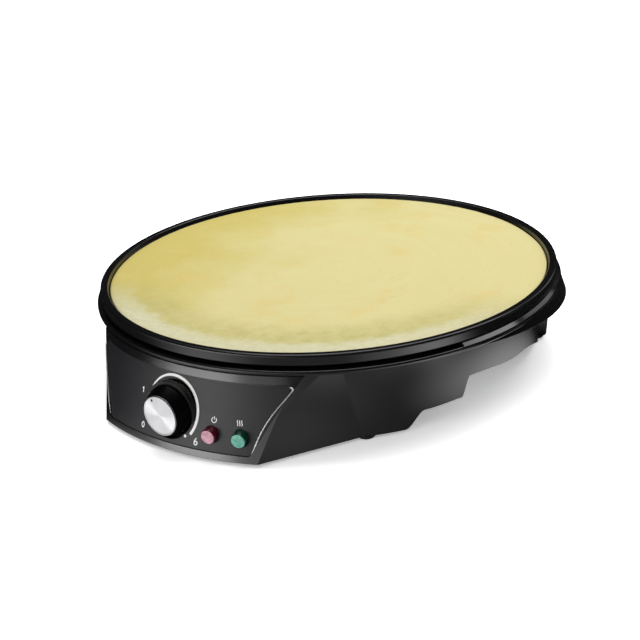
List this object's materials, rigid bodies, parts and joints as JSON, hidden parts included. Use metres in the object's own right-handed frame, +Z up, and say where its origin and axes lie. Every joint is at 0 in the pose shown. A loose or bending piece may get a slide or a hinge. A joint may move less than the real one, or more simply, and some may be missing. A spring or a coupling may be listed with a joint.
{
  "type": "electric crepe maker",
  "caption": "Low round electric griddle with a raised plate rim, side grips and a sloping front console that has a turning heat knob and two lamps.",
  "frame": {"origin": "where the round plate's vertical axis meets the table top that the rubber feet stand on", "axes": "+Z up along the plate's axis, -Y out of the front console along the knob's axis, +X to the right of someone facing the console"},
  "size_m": [0.3304, 0.3465, 0.067],
  "materials": {
    "griddle_coating": "cast aluminium with a black non-stick coating, fine satin grain",
    "crepe": "thin cooked batter, dry pale yellow skin with browned spots",
    "heater_sheath": "heat-tinted stainless steel tube, satin",
    "ceramic": "unglazed steatite ceramic, dry and faintly grainy",
    "aluminised_steel": "pressed aluminised steel sheet, spangled satin",
    "zinc_screw": "bright zinc-plated steel",
    "housing_gloss": "glossy black heat-resistant moulding",
    "panel_satin": "satin charcoal moulding with a fine texture",
    "zinc_sheet": "zinc-plated steel sheet, satin",
    "cover_plastic": "black moulding, matt spark-eroded texture",
    "spring_steel": "bare spring steel, satin",
    "phenolic": "cream phenolic moulding, satin",
    "brass": "plain brass, lightly dulled",
    "copper": "bright drawn copper",
    "spindle_steel": "turned steel, nickel-plated",
    "knob_gloss": "glossy black phenolic",
    "knob_cap_metal": "spun aluminium disc with fine circular grain",
    "pointer_ink": "matt black enamel filled dot",
    "lens_red": "translucent red polycarbonate, polished",
    "lens_green": "translucent green polycarbonate, polished",
    "neon_glass": "clear glass lamp on a pale moulded holder",
    "silicone_wire": "silicone-insulated wire, satin brick red",
    "black_rubber": "matt black rubber"
  },
  "bodies": {
    "base": {"griddle_plate": "griddle_coating", "heating_element": "heater_sheath", "heater_bush_left": "ceramic", "heater_bush_right": "ceramic", "reflector_pan": "aluminised_steel", "plate_spacer_1": "ceramic", "plate_spacer_2": "ceramic", "plate_spacer_3": "ceramic", "plate_spacer_4": "ceramic", "plate_screws": "zinc_screw", "base_housing": "housing_gloss", "control_panel": "panel_satin", "bottom_cover": "zinc_sheet", "cover_screws": "zinc_screw", "console_cover": "cover_plastic", "console_cover_screws": "zinc_screw", "thermostat_bracket": "spring_steel", "thermostat_screws": "zinc_screw", "thermostat_body": "phenolic", "thermostat_terminals": "brass", "thermostat_capillary": "copper", "bulb_clip": "spring_steel", "bulb_clip_screw": "zinc_screw", "power_lens": "lens_red", "ready_lens": "lens_green", "power_neon": "neon_glass", "ready_neon": "neon_glass", "power_lens_clip": "spring_steel", "ready_lens_clip": "spring_steel", "terminal_block": "ceramic", "terminal_screws": "brass", "thermal_cutoff": "spindle_steel", "cutoff_strap": "spring_steel", "earth_tag": "zinc_screw", "internal_wiring": "silicone_wire", "cord_inlet_bush": "black_rubber", "cord_clamp": "cover_plastic", "cord_clamp_screws": "zinc_screw", "foot_front_left": "black_rubber", "foot_front_right": "black_rubber", "foot_rear_left": "black_rubber", "foot_rear_right": "black_rubber"},
    "knob": {"thermostat_spindle": "spindle_steel", "knob": "knob_gloss", "knob_spring": "spring_steel", "knob_cap": "knob_cap_metal", "knob_pointer": "pointer_ink"},
    "crepe": {"crepe": "crepe"}
  },
  "joints": [
    {"name": "knob_turn", "type": "hinge", "parent": "base", "child": "knob", "pos_m": [0, -0.178, 0.0268], "axis": [0, -1, 0], "range_deg": [-155, 91]},
    {"name": "crepe_lift", "type": "slide", "parent": "base", "child": "crepe", "axis": [0, 0, 1], "range_m": [0, 0.08]}
  ]
}
